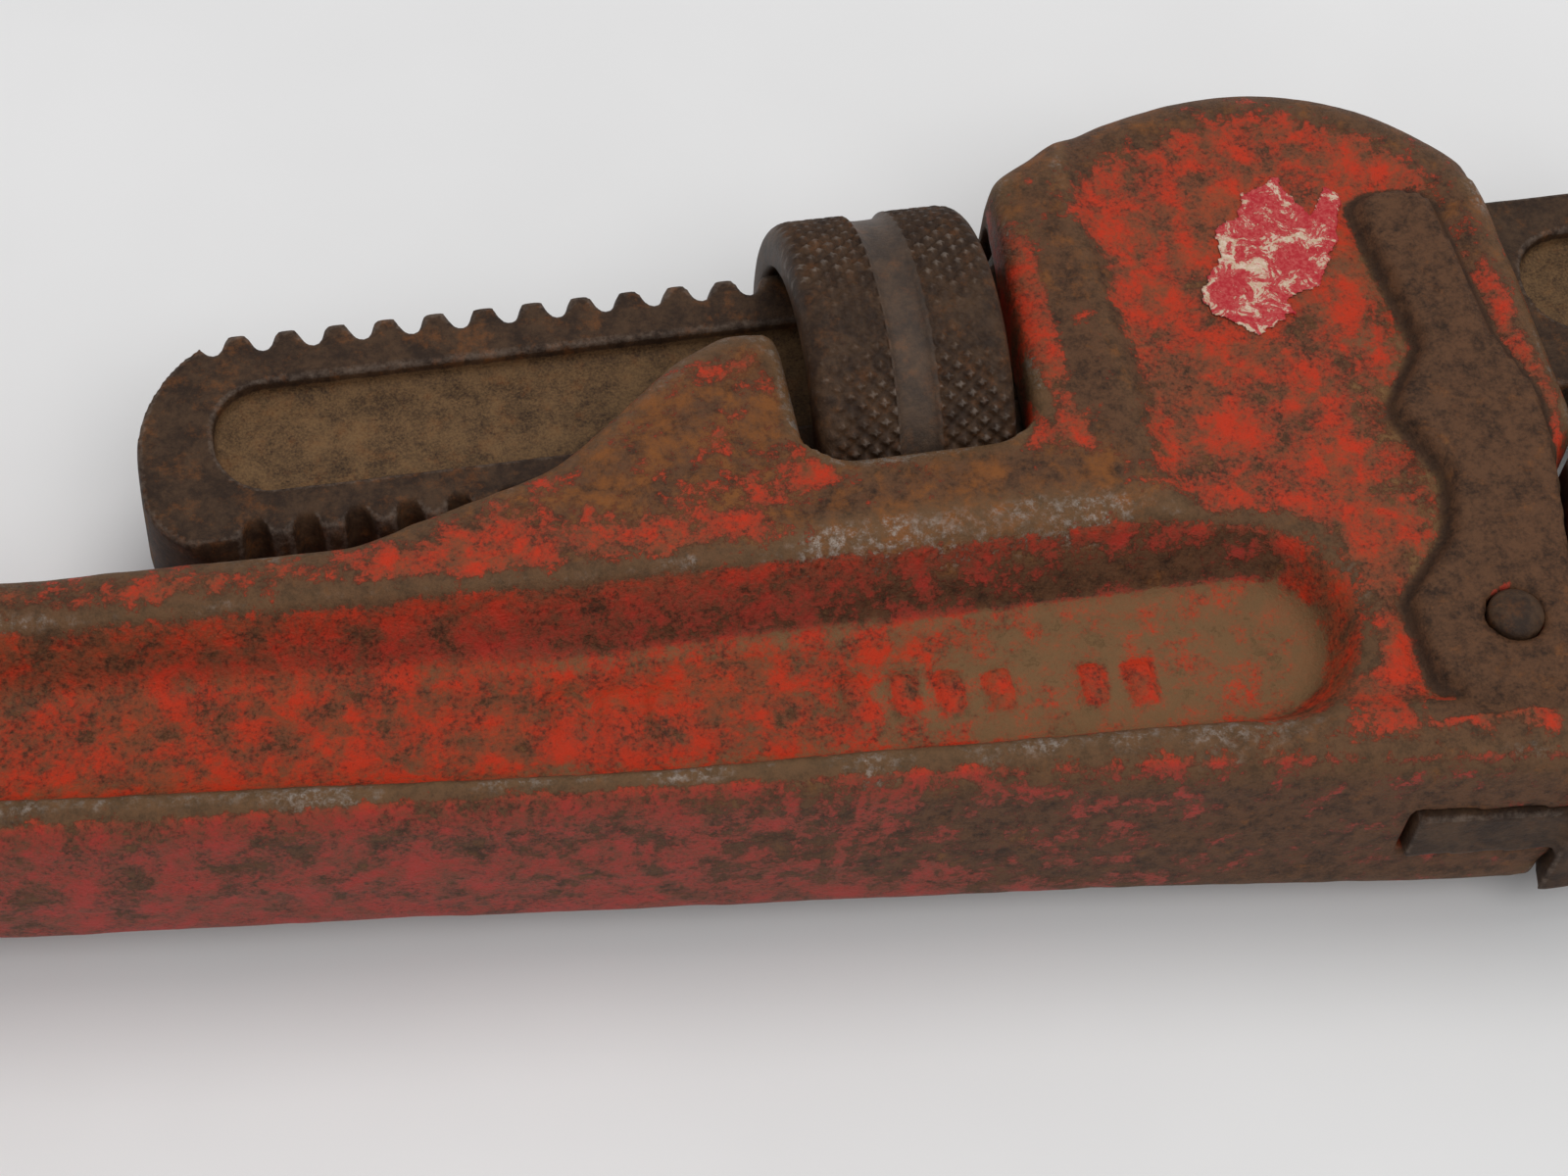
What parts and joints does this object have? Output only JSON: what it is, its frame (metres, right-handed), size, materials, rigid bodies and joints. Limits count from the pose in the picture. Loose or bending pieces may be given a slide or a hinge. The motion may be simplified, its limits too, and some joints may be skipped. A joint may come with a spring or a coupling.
{
  "type": "pipe wrench",
  "caption": "Adjustable pipe wrench: I-section handle with a domed housing, toothed hook jaw moved by a knurled nut, toothed heel jaw held by a pin, and springs that press the hook jaw back.",
  "frame": {"origin": "centre of the hanging hole, at mid-thickness of the handle's end", "axes": "+X along the hook jaw's shank towards the jaws, +Y towards the wrench's back, +Z through its thickness, along the hanging hole"},
  "size_m": [0.393, 0.1012, 0.0414],
  "materials": {
    "red_casting": "worn red paint over rusty iron",
    "jaw_steel": "dark brown forged steel with rust",
    "nut_iron": "dark brown knurled iron, polished by use",
    "pin_steel": "dark worn steel",
    "spring_steel": "dull spring steel",
    "label_paper": "torn printed paper"
  },
  "bodies": {
    "handle": {"handle": "red_casting", "heel_jaw": "jaw_steel", "heel_jaw_pin": "pin_steel", "coil_spring": "spring_steel", "label_remnant": "label_paper"},
    "spring_shoe": {"flat_spring": "spring_steel", "spring_rivet": "pin_steel"},
    "hook_jaw": {"hook_jaw": "jaw_steel"},
    "heel_nut": {"heel_nut": "nut_iron"}
  },
  "joints": [
    {"name": "jaw_float", "type": "hinge", "parent": "handle", "child": "spring_shoe", "pos_m": [0.26412, 0.0223, 0], "axis": [0, 0, 1], "range_deg": [0, 2.2], "stiffness_Nm_per_rad": 18, "springref_deg": -2.86, "deforming": ["coil_spring"]},
    {"name": "jaw_slide", "type": "slide", "parent": "spring_shoe", "child": "hook_jaw", "axis": [1, 0, 0], "range_m": [-0.006, 0.058]},
    {"name": "nut_turn", "type": "hinge", "parent": "spring_shoe", "child": "heel_nut", "pos_m": [0.26412, 0.0223, 0], "axis": [1, 0, 0], "range_deg": [-3720, 400]}
  ],
  "couplings": [
    {"joint": "nut_turn", "follows": "jaw_slide", "rad_per_m": -1113.3}
  ]
}
